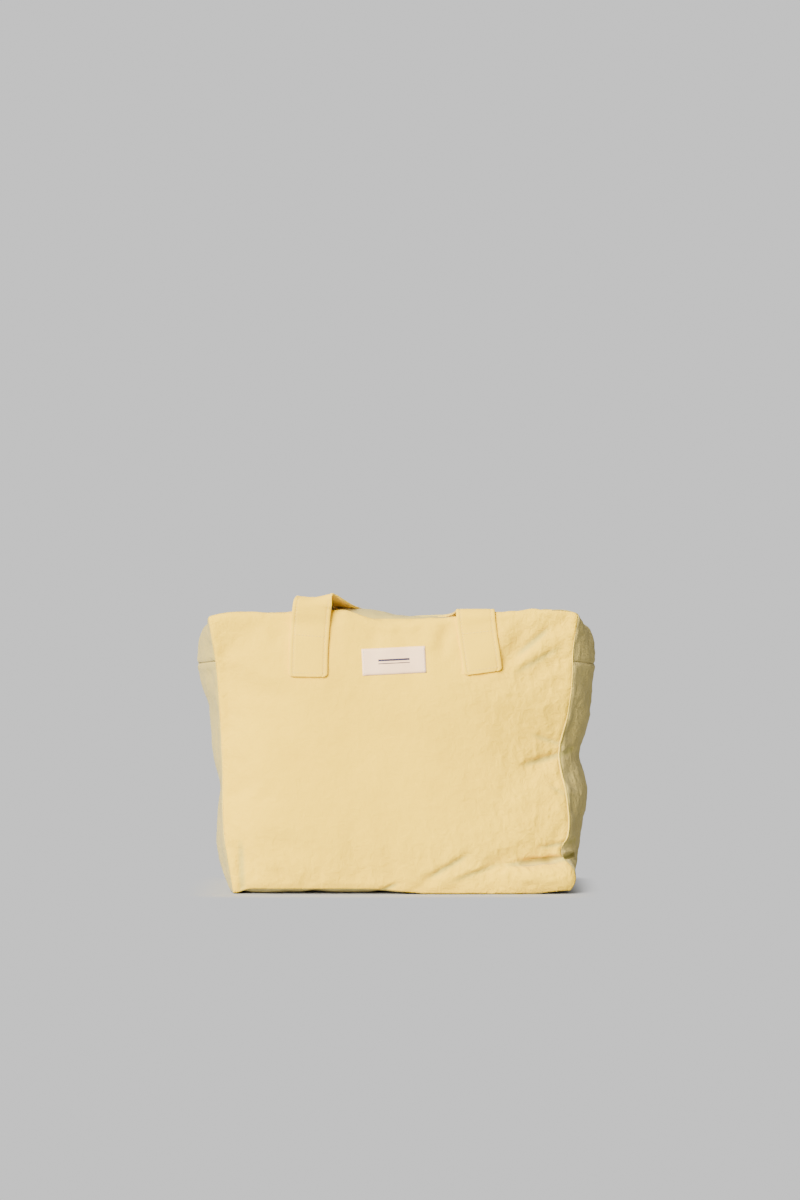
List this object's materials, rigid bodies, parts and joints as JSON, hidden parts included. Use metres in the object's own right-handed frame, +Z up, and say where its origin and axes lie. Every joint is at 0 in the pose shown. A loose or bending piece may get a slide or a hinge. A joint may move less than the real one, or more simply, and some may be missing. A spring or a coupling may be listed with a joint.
{
  "type": "tote bag",
  "caption": "Boxy soft canvas tote bag with a zipped top, side gussets and two short webbing handles; its front folds back flat onto its back.",
  "frame": {"origin": "centre of the base, on the floor", "axes": "+X to the right along the front, +Y to the back, +Z up"},
  "size_m": [0.4256, 0.1832, 0.322],
  "materials": {
    "canvas": "washed plain-weave cotton canvas",
    "webbing": "folded canvas strap",
    "thread": "cotton thread",
    "label": "smooth woven tape, blank",
    "zip_tape": "woven tape",
    "zip_teeth": "moulded coil",
    "zip_metal": "satin"
  },
  "bodies": {
    "back_shell": {"back_panel": "canvas", "bottom_panel": "canvas", "side_gusset_left": "canvas", "side_gusset_right": "canvas", "top_end_panel_left": "canvas", "top_end_panel_right": "canvas", "back_handle_end_left": "webbing", "back_handle_end_right": "webbing", "back_handle_stitching": "thread", "back_handle_bend_left": "webbing", "back_handle_bend_right": "webbing", "back_seam_ridge_left": "canvas", "back_seam_ridge_right": "canvas"},
    "front_shell": {"front_panel": "canvas", "front_handle_end_left": "webbing", "front_handle_end_right": "webbing", "front_handle_stitching": "thread", "front_handle_bend_left": "webbing", "front_handle_bend_right": "webbing", "label": "label", "label_stitching": "thread", "front_seam_ridge_left": "canvas", "front_seam_ridge_right": "canvas"},
    "front_flap": {"top_panel_front": "canvas", "zip_tape_front": "zip_tape", "zip_teeth_front": "zip_teeth"},
    "back_flap": {"top_panel_back": "canvas", "zip_tape_back": "zip_tape", "zip_teeth_back": "zip_teeth"},
    "zip_line": {"zip_end_left": "zip_tape", "zip_end_right": "zip_tape", "zip_stop_left": "zip_metal", "zip_stop_right": "zip_metal"},
    "slider": {"zip_slider": "zip_metal"},
    "pull": {"zip_pull": "zip_metal"},
    "front_loop": {"front_handle": "webbing"},
    "back_loop": {"back_handle": "webbing"}
  },
  "joints": [
    {"name": "fold_flat", "type": "slide", "parent": "back_shell", "child": "front_shell", "axis": [0, -1, 0], "range_m": [-0.13, 0], "deforming": ["side_gusset_left", "side_gusset_right", "bottom_panel", "top_end_panel_left", "top_end_panel_right", "top_panel_front", "zip_tape_front", "zip_teeth_front", "top_panel_back", "zip_tape_back", "zip_teeth_back"]},
    {"name": "zip_line_follow", "type": "slide", "parent": "back_shell", "child": "zip_line", "axis": [0, -1, 0], "range_m": [-0.065, 0]},
    {"name": "front_flap_open", "type": "hinge", "parent": "front_shell", "child": "front_flap", "pos_m": [0, -0.077, 0.2985], "axis": [-1, 0, 0], "range_deg": [0, 85]},
    {"name": "back_flap_open", "type": "hinge", "parent": "back_shell", "child": "back_flap", "pos_m": [0, 0.077, 0.2985], "axis": [1, 0, 0], "range_deg": [0, 85]},
    {"name": "zip_run", "type": "slide", "parent": "zip_line", "child": "slider", "axis": [-1, 0, 0], "range_m": [0, 0.356]},
    {"name": "pull_swing", "type": "hinge", "parent": "slider", "child": "pull", "pos_m": [0.178, 0, 0.29495], "axis": [0, 1, 0], "range_deg": [0, 180]},
    {"name": "front_handle_swing", "type": "hinge", "parent": "front_shell", "child": "front_loop", "pos_m": [0, -0.0905, 0.318], "axis": [1, 0, 0], "range_deg": [0, 264], "deforming": ["front_handle_bend_left", "front_handle_bend_right"]},
    {"name": "back_handle_swing", "type": "hinge", "parent": "back_shell", "child": "back_loop", "pos_m": [0, 0.0903, 0.296], "axis": [1, 0, 0], "range_deg": [0, 175], "deforming": ["back_handle_bend_left", "back_handle_bend_right"]}
  ],
  "couplings": [
    {"joint": "zip_line_follow", "follows": "fold_flat", "ratio": 0.5}
  ]
}
